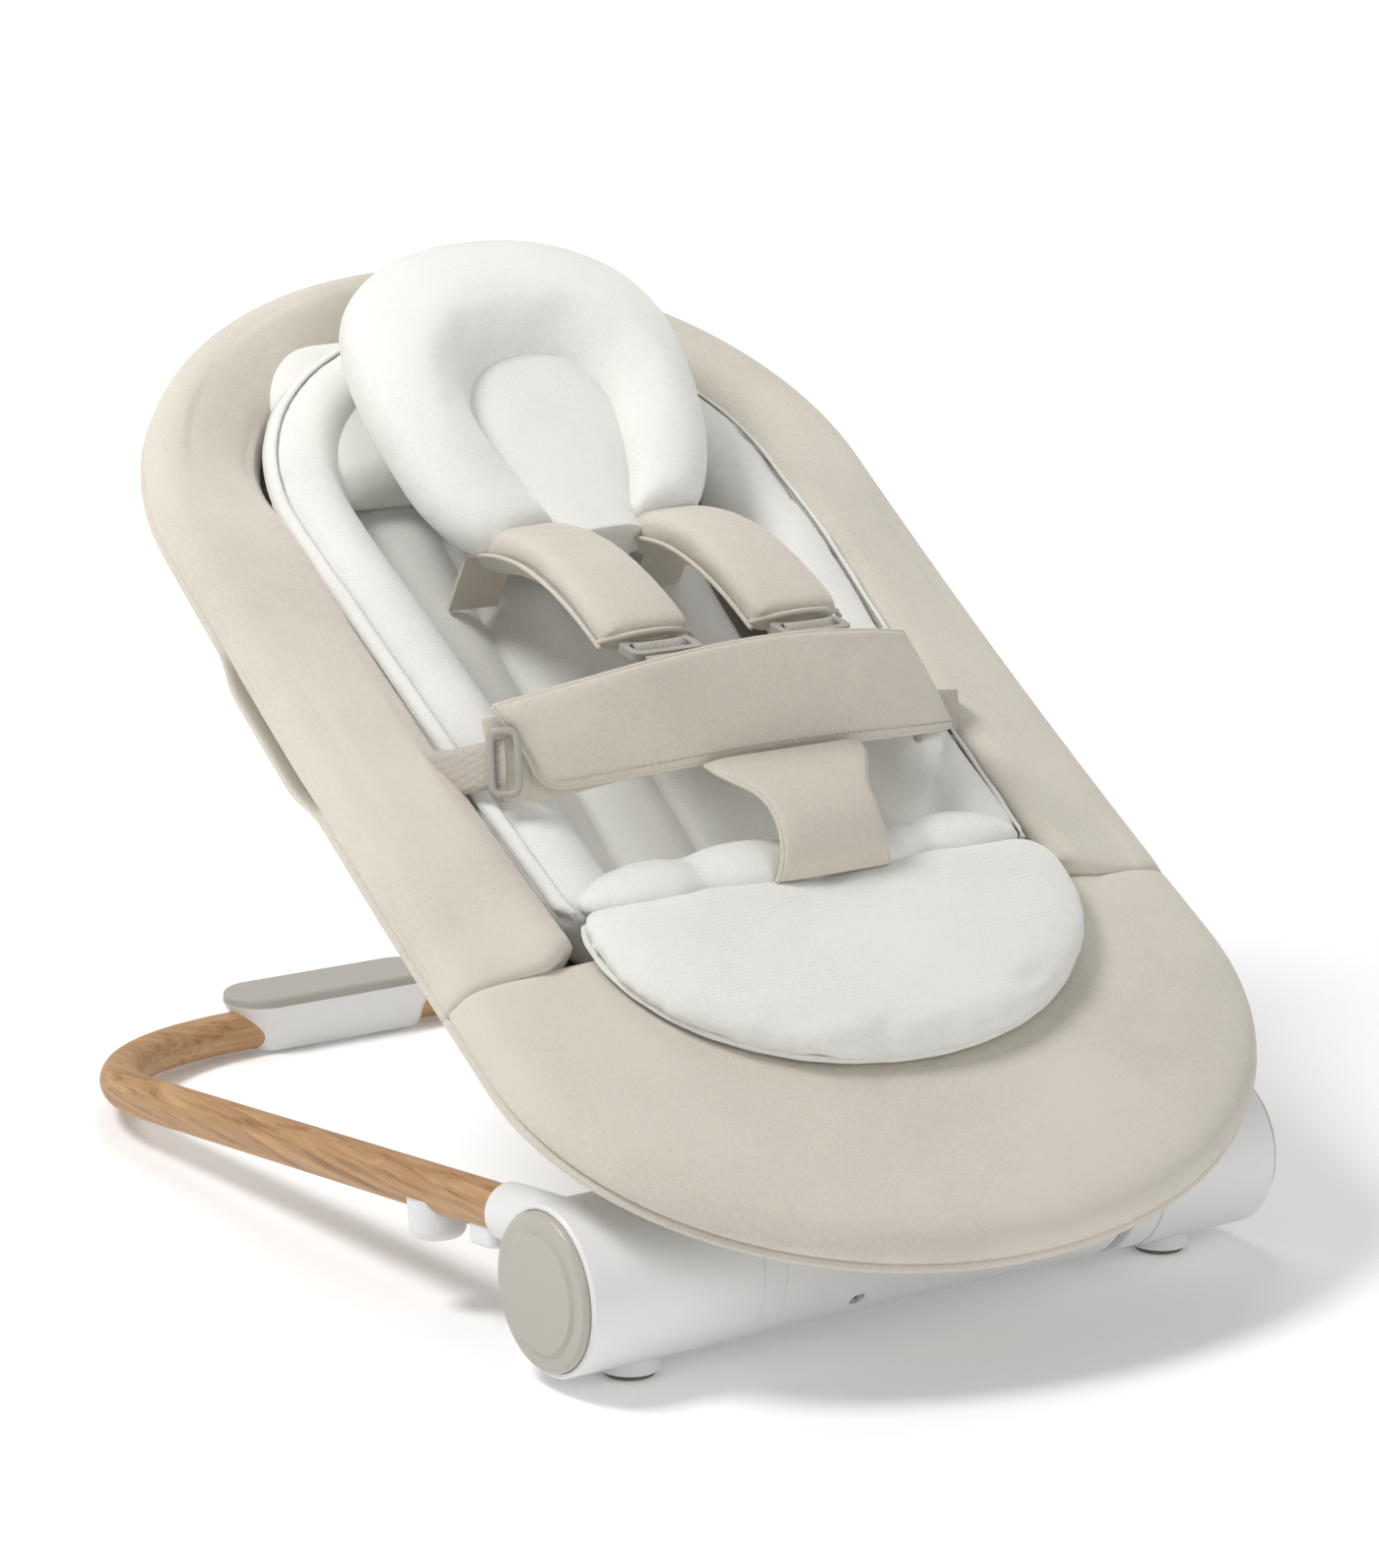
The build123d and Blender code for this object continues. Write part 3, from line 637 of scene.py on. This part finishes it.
def head_pad_place(a, b):
    """Soft filling of the liner inside the roll, behind the pillow."""
    t = 2 * a - 1
    beta = 2 * math.pi * b
    cb, sb = math.cos(beta), math.sin(beta)
    u = 640 + 58 * math.copysign(abs(cb) ** 0.6, cb)
    spread = math.sqrt(max(0.0, 1 - max(0.0, (u - 575) / 140.0) ** 2.4))
    end = math.sqrt(max(0.0, 1 - t ** 6))
    return seat(136 * t * (0.55 + 0.45 * spread), u, 1 + 12 * math.copysign(abs(sb) ** 0.6, sb) * end
                - 8 * smooth((600 - u) / 25.0))


head_pad = finish_mesh("liner_head_pad", mapped(60, 40, head_pad_place), jersey)
subdivide(head_pad)
on_seat(head_pad, fill=0.7)


def roll_edge(s, out, w):
    x, u = roll_line(s, -out)
    return seat(x, u, w)


def selvage_place(a, b):
    """Puckered sewn edge that runs along the outer side of the roll."""
    s = 2 * a - 1
    ripple = 0.55 * math.sin(a * 190.0) + 0.35 * math.sin(a * 73.0)
    out = 6.5 * b - 9.0 + 0.35 * ripple * b
    end = smooth((1 - abs(s)) / 0.02)
    lift = 5.0 * smooth((abs(s) - 0.4) / 0.16)
    return roll_edge(s * 0.985, -8.5 + (out + 8.5) * end, 14.4 + lift - 6.0 * b * b + ripple * b * 0.6)


bm = mapped(420, 3, selvage_place, close=False)
bmesh.ops.solidify(bm, geom=bm.faces[:], thickness=0.0012)
selvage = finish_mesh("liner_selvage", bm, jersey)
on_seat(selvage, fill=0.2)

PANEL_HALF = 147.0
PANEL_FOOT = 121.0
PANEL_TOP = 252.0
PANEL_DEPTH = 106.0
PANEL_PUFF = 4.5


def panel_rim(t):
    s = 2 * t - 1
    if abs(s) > 0.84:
        k = (abs(s) - 0.84) / 0.16
        x = PANEL_HALF - 12 * k ** 3
        return math.copysign(x, s), PANEL_FOOT + PANEL_DEPTH + (PANEL_TOP - PANEL_FOOT - PANEL_DEPTH) * k
    phi = s / 0.84 * math.pi / 2
    return PANEL_HALF * math.sin(phi), PANEL_FOOT + PANEL_DEPTH - PANEL_DEPTH * math.cos(phi)


# section of the leg pad: share of the way out from its top edge, and up
PANEL_EDGE = [(0.0, 33), (0.3, 33), (0.55, 32.5), (0.76, 31), (0.9, 28.5), (0.98, 25), (1.01, 21),
              (1.01, 17.5), (0.99, 15.8), (0.9, 15), (0.6, 14.6), (0.3, 14.6), (0.0, 14.6)]


def panel_place(a, b):
    r, w = curve_at(PANEL_EDGE, b)
    r = max(r, 0.0)
    x, u = panel_rim(a)
    px = x * r * (1 + PANEL_PUFF / PANEL_HALF)
    pu = PANEL_TOP + (u - PANEL_TOP) * r * (1 + PANEL_PUFF / (PANEL_TOP - PANEL_FOOT))
    if w > 18:
        roll_over = smooth((PANEL_TOP - pu) / 16.0)
        w = 20 + (w - 20) * (0.5 + 0.5 * roll_over)
    return seat(px, pu, w)


leg_panel = finish_mesh("liner_leg_pad", mapped(150, 44, panel_place), jersey)
inflate(leg_panel, pressure=3.0, cap=0.004, voxel=0.0045)
subdivide(leg_panel)
on_seat(leg_panel, "liner_leg_panel", fill=0.7)


def panel_hem_place(a, b):
    x, u = panel_rim(0.02 + a * 0.96)
    ripple = 0.6 * math.sin(a * 120.0) + 0.5 * math.sin(a * 47.0)
    cx, cu = 0.0, PANEL_FOOT + PANEL_DEPTH
    d = Vector((x - cx, u - cu)).normalized()
    out = -2.4 + 3.0 * b
    return seat(x + d.x * out, u + min(0.0, d.y) * out, 17.0 - 1.6 * b + 0.25 * ripple * b)


bm = mapped(300, 3, panel_hem_place, close=False)
bmesh.ops.solidify(bm, geom=bm.faces[:], thickness=0.0014)
hem = finish_mesh("liner_leg_hem", bm, jersey)
on_seat(hem, fill=0.2)


def fold_place(a, b):
    """Puffy row where the liner folds up from the seat to the leg pad."""
    x = -144 + 288 * a
    ring = 2 * math.pi * b
    t = abs(2 * a - 1)
    size = math.sqrt(max(0.0, 1 - t ** 4))
    lobe = abs(math.sin((x + 144) / 288 * math.pi * 4)) ** 0.5
    du = 25 * math.cos(ring) * size * (0.7 + 0.3 * lobe)
    dw = 20 * math.sin(ring) * size * (0.45 + 0.55 * lobe)
    return seat(x, 258 + du, 19 + dw - 0.25 * du)


fold = finish_mesh("liner_fold", mapped(110, 40, fold_place), jersey)
inflate(fold, pressure=3.0, cap=0.004, voxel=0.0045)
subdivide(fold)
on_seat(fold, "liner_seat_fold", fill=0.8)

# ------------------------------------------------------------------ head pillow
# inner and outer edge of the pillow, from the crown to one end: across, and along
PILLOW_IN = [(0, 616), (30, 610), (47, 590), (49, 566), (45, 541), (36, 519), (25, 498)]
PILLOW_OUT = [(0, 726), (52, 717), (92, 688), (109, 646), (111, 598), (103, 548), (79, 498)]


def pillow_point(x, u, h):
    """The pillow lies a little askew, with its open end lower."""
    lean = 0.07
    return flat(x - (640 - u) * lean + 6, u + x * lean, h - 15 * smooth((650 - u) / 150.0))


def mirrored(points):
    return [(-x, u) for x, u in reversed(points[1:])] + points


def pillow_place(a, b):
    """Horseshoe bolster round the head; a runs from one end over the crown to the other."""
    s = 2 * a - 1
    t = abs(s)
    ix, iu = curve_at(mirrored(PILLOW_IN), a)
    ox, ou = curve_at(mirrored(PILLOW_OUT), a)
    end = math.sqrt(max(0.0, 1 - max(0.0, (t - 0.9) / 0.1) ** 2))
    beta = 2 * math.pi * b
    cb, sb = math.cos(beta), math.sin(beta)
    side = math.copysign(abs(cb) ** 0.85, cb) * 0.5 * (0.3 + 0.7 * end) + 0.5
    x = ix + (ox - ix) * side
    u = iu + (ou - iu) * side
    horn = smooth((560 - u) / 70.0)
    thick = (24.0 - 5 * horn) * math.copysign(abs(sb) ** 0.85, sb) * (0.15 + 0.85 * end)
    return pillow_point(x, u, 39 + thick)


pillow = finish_mesh("pillow_ring", mapped(170, 44, pillow_place), jersey)
inflate(pillow, pressure=4.0, cap=0.006, voxel=0.005)
subdivide(pillow)
on_seat(pillow, "head_pillow", fill=0.85)


def centre_place(a, b):
    """Raised middle of the pillow that runs out between the two ends."""
    u = 656 - 162 * a
    if u > 588:
        half = 58 * math.sqrt(max(0.0, 1 - ((u - 588) / 68.0) ** 2))
    else:
        half = 58 - 27 * smooth((588 - u) / 92.0)
    beta = 2 * math.pi * b
    cb, sb = math.cos(beta), math.sin(beta)
    w = 14 * math.copysign(abs(sb) ** 0.8, sb)
    return pillow_point(half * math.copysign(abs(cb) ** 0.7, cb), u, 34 + w)


centre = finish_mesh("pillow_centre", mapped(60, 36, centre_place), jersey)
subdivide(centre)
on_seat(centre, fill=0.6)

# ------------------------------------------------------------------ harness
def strip(name, line, width, thick, edge=3.2):
    """Padded strap along line(t), width(t) wide and thick(t) thick, with rounded edges and ends."""
    def place(a, b):
        p = line(a)
        q = line(min(1.0, a + 0.01)) - line(max(0.0, a - 0.01))
        along = q.normalized()
        out = ACROSS.cross(along).normalized()
        beta = 2 * math.pi * b
        cb, sb = math.cos(beta), math.sin(beta)
        flat_side = math.copysign(abs(cb) ** (1 / edge), cb)
        puff = math.copysign(abs(sb) ** 0.7, sb)
        e = min(a, 1 - a) / 0.03
        taper = math.sqrt(max(0.0, 1 - (1 - min(1.0, e)) ** 2)) * 0.7 + 0.3
        half = width(a) / 2
        return p + ACROSS * (flat_side * half * MM) + out * (puff * thick(a) / 2 * taper * MM)
    return finish_mesh(name, mapped(60, 40, place), harness_cloth)


def piping(name, line, radius):
    """Corded edge of a harness pad."""
    on_seat(tube(name, line, radius, harness_cloth))


# middle line of a shoulder pad: along, and height over the chord
PAD_LINE = [(512, 9), (492, 27), (468, 42), (440, 52), (412, 57.5), (383, 60)]
PAD_X = 48.0
for sign, side in ((-1, "left"), (1, "right")):
    def pad_line(t, sign=sign):
        u, h = curve_at(PAD_LINE, t)
        return flat(sign * PAD_X, u, h)
    pad = strip("shoulder_strap_pad_" + side, pad_line, lambda t: 54 + 4 * t, lambda t: 26 - 7 * t,
                edge=2.2)
    inflate(pad, pressure=2.5, cap=0.003, voxel=0.004)
    subdivide(pad)
    on_seat(pad, "shoulder_pad_" + side, fill=0.7)
    for edge in (-1, 1):
        line = []
        for k in range(61):
            t = k / 60
            u, h = curve_at(PAD_LINE, t)
            line.append(flat(sign * PAD_X + edge * (27.2 + 2.0 * t), u, h - 2.0))
        piping("shoulder_piping_%s_%s" % (side, "in" if edge * sign < 0 else "out"), line, 1.3)
    line = []
    for k in range(31):
        t = -1 + k / 15
        line.append(flat(sign * PAD_X + 29 * t, 382 + 5 * t * t, 67.5 - 9.0 * t * t))
    piping("shoulder_end_" + side, line, 1.6)

    def loop_place(a, b, sign=sign):
        """Webbing that comes out of the pad, goes round the ring bar and back."""
        ring = math.pi * (0.5 + a * 1.25)
        x = sign * PAD_X + 15.5 * (2 * b - 1)
        return flat(x, 377 + 7 * math.cos(ring) - 1.5, 62.5 + 4.2 * math.sin(ring))
    bm = mapped(24, 8, loop_place, close=False)
    bmesh.ops.solidify(bm, geom=bm.faces[:], thickness=0.0013)
    on_seat(finish_mesh("shoulder_loop_" + side, bm, web_cloth))

# belt coordinates: across, up the belt, and out from its face
BELT_TILT = ANGLE + math.radians(53.0)
BELT_UP = Vector((0.0, math.cos(BELT_TILT), math.sin(BELT_TILT)))
BELT_OUT = Vector((0.0, -math.sin(BELT_TILT), math.cos(BELT_TILT)))


def belt_point(x, d, e):
    return SEAT_FOOT + Vector((x * MM, 0, 0)) + BELT_UP * (d * MM) + BELT_OUT * (e * MM)


BELT_HALF = 149.0
BELT_SET = -221.0
BELT_WRAP = {"left": 37.0, "right": 45.0}
BELT_LOW = 219.5
BELT_LOW_BOW = 11.0
BELT_HIGH = 279.5
BELT_HIGH_BOW = 23.5


def belt_surface(x, d, lift=0.0):
    """On the belt's face, which wraps back towards its ends."""
    wrap = BELT_WRAP["right" if x > 0 else "left"]
    return belt_point(x, d, BELT_SET - wrap * abs(x / BELT_HALF) ** 2.9 + lift)


def belt_at(t, v, lift=0.0):
    """On the belt: t from -1 (left end) to 1, v from 0 (lower edge) to 1 (upper edge)."""
    x = (-131 - 18 * v) + (280 - 38 * v) * (t + 1) / 2
    k = x / BELT_HALF
    low = BELT_LOW - BELT_LOW_BOW * k * k + 7 * max(0.0, (-x - 117) / 14.0) ** 2.2 * (1 - v)
    high = BELT_HIGH - BELT_HIGH_BOW * k * k
    return belt_surface(x, low + (high - low) * v, lift)


def belt_place(a, b):
    t = 2 * a - 1
    beta = 2 * math.pi * b
    cb, sb = math.cos(beta), math.sin(beta)
    v = 0.5 + 0.5 * math.copysign(abs(cb) ** 0.32, cb)
    e = min(1.0, (1 - abs(t)) / 0.02)
    thin = 0.4 + 0.6 * math.sqrt(max(0.0, 1 - (1 - e) ** 2))
    soft = 0.6 * math.sin(t * 7.1 + 1.0) * math.sin(v * 5.0 + t * 2.0)
    return belt_at(t, v, -4.5 + 4.6 * math.copysign(abs(sb) ** 0.6, sb) * thin + soft)


belt = finish_mesh("waist_band", mapped(150, 64, belt_place), harness_cloth)
subdivide(belt)
on_seat(belt, "waist_belt", fill=0.5)


def belt_run(v0, v1, t0, t1, lift, count=120):
    return [belt_at(t0 + (t1 - t0) * k / count, v0 + (v1 - v0) * k / count, lift) for k in range(count + 1)]


piping("belt_piping_low", belt_run(-0.005, -0.005, -1, 1, -4.6), 1.6)
piping("belt_piping_high", belt_run(1, 1, -1, 1, -4.6), 1.2)
piping("belt_piping_left", belt_run(0, 1, -1, -1, -4.6, 30), 1.5)
piping("belt_piping_right", belt_run(0, 1, 1, 1, -4.6, 30), 1.4)
on_seat(stitches("belt_stitch_low", belt_run(0.075, 0.075, -0.93, 0.97, 0.15, 200), lambda p: BELT_OUT,
                 thread_cloth))


def under_place(a, b):
    """Inner layer of the belt that shows below its left end."""
    beta = 2 * math.pi * b
    cb, sb = math.cos(beta), math.sin(beta)
    v = 0.5 + 0.5 * math.copysign(abs(cb) ** 0.3, cb)
    x = -143 - 8 * v + 80 * a
    k = x / BELT_HALF
    low = BELT_LOW - BELT_LOW_BOW * k * k - 9.5 + 8.0 * a
    high = BELT_HIGH - BELT_HIGH_BOW * k * k - 6.5
    thin = min(1.0, 0.5 + a * 12) * 2.3
    return belt_surface(x, low + (high - low) * v, -11.5 + thin * math.copysign(abs(sb) ** 0.6, sb)
                        - 2.0 * math.sin(3.0 * a))


under = finish_mesh("belt_under_flap", mapped(50, 40, under_place), harness_cloth)
on_seat(under, "belt_tab", fill=0.4)

# the right strap is tucked further in under the belt
for sign, side, tuck in ((-1, "left", 0.0), (1, "right", 1.0)):

    def side_web_place(a, b, sign=sign, tuck=tuck):
        """Side webbing from under the cover, over the roll, to the ring."""
        x, e, d = curve_at([(170, -300, 218), (162, -285, 220), (155, -266, 225),
                            (149 - 26 * tuck, -253 - 10 * tuck, 228)], a)
        return belt_point(sign * x, d - 10 * tuck + 25 * (b - 0.5), e - 9 * tuck + 0.8 * math.sin(3.1 * b))
    bm = mapped(30, 6, side_web_place, close=False)
    bmesh.ops.solidify(bm, geom=bm.faces[:], thickness=0.0016)
    on_seat(finish_mesh("side_strap_" + side, bm, web_cloth), "side_webbing_" + side)
    line = []
    for k in range(40):
        ring = 2 * math.pi * k / 40
        cr, sr = math.cos(ring), math.sin(ring)
        line.append(belt_point(sign * (149 - 24 * tuck - 5.5 * math.copysign(abs(cr) ** 0.5, cr)),
                               228 - 8 * tuck + 16.5 * math.copysign(abs(sr) ** 0.35, sr),
                               -253 - 13 * tuck + 4.5 * math.copysign(abs(cr) ** 0.5, cr)))
    on_seat(tube("side_loop_" + side, line, 2.1, ring_plastic, cyclic=True),
            "side_ring_" + side)

# middle line of the crotch strap: along, and height over the chord
CROTCH = [(237, 23), (243, 34), (256, 44), (274, 48), (290, 46.5), (306, 43)]


def crotch_line(t):
    u, h = curve_at(CROTCH, t)
    return flat(0, u, h)


def crotch_width(t):
    return 2 * (35.5 - 4.5 * math.sin(math.pi * min(1.0, t * 1.15)) + 13 * smooth((t - 0.5) / 0.5))


crotch = strip("crotch_strap_pad", crotch_line, crotch_width, lambda t: 7.5)
subdivide(crotch)
on_seat(crotch, "crotch_strap", fill=0.5)
for sign, side in ((-1, "left"), (1, "right")):
    line = []
    for k in range(61):
        t = k / 60
        p = crotch_line(t)
        line.append(p + Vector((sign * (crotch_width(t) / 2 + 0.2) * MM, 0, 0)) - UP * (0.5 * MM))
    piping("crotch_piping_" + side, line, 1.3)

# ------------------------------------------------------------------ camera, light and floor
scene = bpy.context.scene
target = Vector((-0.0377, -0.1064, 0.2547))
azimuth = math.radians(-33.9)
elevation = math.radians(13.3)
distance = 2.407
back = Vector((math.sin(azimuth) * math.cos(elevation), -math.cos(azimuth) * math.cos(elevation),
               math.sin(elevation)))
camera_data = bpy.data.cameras.new("camera")
camera_data.sensor_fit = "VERTICAL"
camera_data.sensor_height = 24.0
camera_data.lens = 70.1367
camera = bpy.data.objects.new("camera", camera_data)
camera.location = target + back * distance
camera.rotation_euler = back.to_track_quat("Z", "Y").to_euler()
scene.collection.objects.link(camera)
scene.camera = camera

bm = bmesh.new()
bmesh.ops.create_grid(bm, x_segments=1, y_segments=1, size=12.0)
for v in bm.verts:
    v.co.z = -0.0004
floor_mesh = bpy.data.meshes.new("floor")
bm.to_mesh(floor_mesh)
bm.free()
floor = bpy.data.objects.new("floor", floor_mesh)
scene.collection.objects.link(floor)
floor_mat, floor_tree, floor_shader = new_material("floor")
floor_shader.inputs["Base Color"].default_value = (0.95, 0.95, 0.955, 1)
floor_shader.inputs["Roughness"].default_value = 0.9
floor_shader.inputs["Specular IOR Level"].default_value = 0.1
floor_shader.inputs["Emission Color"].default_value = (1, 1, 1, 1)
# Painted light: the floor glows, its emission rising from 0.12 within 0.55 m of the floor's centre to 1.0
# beyond 1.8 m, so the far floor turns white while the shade near the seat stays.
floor_coords = add(floor_tree, "ShaderNodeTexCoord")
floor_reach = add(floor_tree, "ShaderNodeVectorMath", operation="LENGTH")
floor_tree.links.new(floor_coords.outputs["Object"], floor_reach.inputs[0])
floor_glow = add(floor_tree, "ShaderNodeMapRange", interpolation_type="SMOOTHSTEP")
floor_glow.inputs["From Min"].default_value = 0.55
floor_glow.inputs["From Max"].default_value = 1.8
floor_glow.inputs["To Min"].default_value = 0.12
floor_glow.inputs["To Max"].default_value = 1.0
floor_tree.links.new(floor_reach.outputs["Value"], floor_glow.inputs["Value"])
floor_tree.links.new(floor_glow.outputs["Result"], floor_shader.inputs["Emission Strength"])
floor_mesh.materials.append(floor_mat)


def area_light(name, place, aim, size, power, colour=(1, 1, 1)):
    data = bpy.data.lights.new(name, "AREA")
    data.shape = "DISK"
    data.size = size
    data.energy = power
    data.color = colour
    lamp = bpy.data.objects.new(name, data)
    lamp.location = place
    lamp.rotation_euler = (Vector(place) - Vector(aim)).to_track_quat("Z", "Y").to_euler()
    scene.collection.objects.link(lamp)


area_light("soft key", (-1.5, 0.3, 2.45), (0, 0, 0.2), 0.9, 47)
area_light("soft back", (0.8, 1.2, 2.5), (0, 0, 0.1), 1.4, 16)
area_light("soft front", (0.2, -2.6, 1.5), (0, 0, 0.2), 1.6, 13)
world = bpy.data.worlds.new("studio")
scene.world = world
world.use_nodes = True
sky = world.node_tree
sky_path = add(sky, "ShaderNodeLightPath")
sky_level = add(sky, "ShaderNodeMapRange")
sky_level.inputs["To Min"].default_value = 0.35
sky_level.inputs["To Max"].default_value = 1.0
sky.links.new(sky_path.outputs["Is Camera Ray"], sky_level.inputs["Value"])
sky.nodes["Background"].inputs["Color"].default_value = (1, 1, 1, 1)
sky.links.new(sky_level.outputs["Result"], sky.nodes["Background"].inputs["Strength"])
scene.view_settings.view_transform = "Standard"
scene.view_settings.look = "None"
